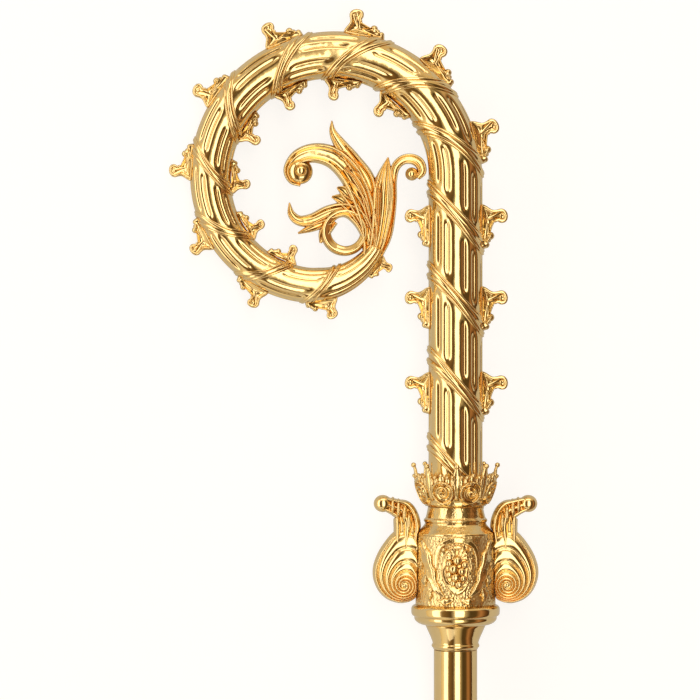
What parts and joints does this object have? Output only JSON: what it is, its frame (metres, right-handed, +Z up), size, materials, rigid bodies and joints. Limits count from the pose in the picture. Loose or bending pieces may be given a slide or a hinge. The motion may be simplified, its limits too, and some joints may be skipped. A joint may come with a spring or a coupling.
{
  "type": "bishop crosier",
  "caption": "Gilt brass pastoral staff: reeded crook set with leaf buds and curling round acanthus foliage, on a crowned knop with side scrolls and a plain screwed shaft.",
  "frame": {"origin": "on the floor, under the middle of the crosier's bounding box as it lies", "axes": "+Y runs up the staff towards the crook, +Z is up from the floor, and the crook curls towards -X"},
  "size_m": [0.2214, 1.8022, 0.0543],
  "materials": {
    "polished_gilt_brass": "gold-plated brass, mirror polished",
    "chased_gilt_brass": "gold-plated cast brass, chased, with a stippled ground"
  },
  "bodies": {
    "root": {"crook_rod": "polished_gilt_brass", "outer_leaf_bud_1": "polished_gilt_brass", "outer_leaf_bud_2": "polished_gilt_brass", "outer_leaf_bud_3": "polished_gilt_brass", "outer_leaf_bud_4": "polished_gilt_brass", "outer_leaf_bud_5": "polished_gilt_brass", "outer_leaf_bud_6": "polished_gilt_brass", "outer_leaf_bud_7": "polished_gilt_brass", "outer_leaf_bud_8": "polished_gilt_brass", "outer_leaf_bud_9": "polished_gilt_brass", "outer_leaf_bud_10": "polished_gilt_brass", "outer_leaf_bud_11": "polished_gilt_brass", "outer_leaf_bud_12": "polished_gilt_brass", "outer_leaf_bud_13": "polished_gilt_brass", "inner_leaf_bud_1": "polished_gilt_brass", "inner_leaf_bud_2": "polished_gilt_brass", "inner_leaf_bud_3": "polished_gilt_brass", "inner_leaf_bud_4": "polished_gilt_brass", "inner_leaf_bud_5": "polished_gilt_brass", "inner_leaf_bud_6": "polished_gilt_brass", "inner_leaf_bud_7": "polished_gilt_brass", "inner_leaf_bud_8": "polished_gilt_brass", "inner_leaf_bud_9": "polished_gilt_brass", "inner_leaf_bud_10": "polished_gilt_brass", "terminal_foliage": "polished_gilt_brass", "right_side_scroll": "polished_gilt_brass", "left_side_scroll": "polished_gilt_brass", "socket_cone": "polished_gilt_brass", "staff_section_1": "polished_gilt_brass", "staff_section_2": "polished_gilt_brass", "staff_section_3": "polished_gilt_brass", "screw_collar_1": "polished_gilt_brass", "screw_collar_2": "polished_gilt_brass", "foot_ferrule": "polished_gilt_brass", "crown_collar": "chased_gilt_brass", "knop": "chased_gilt_brass"}
  },
  "joints": []
}
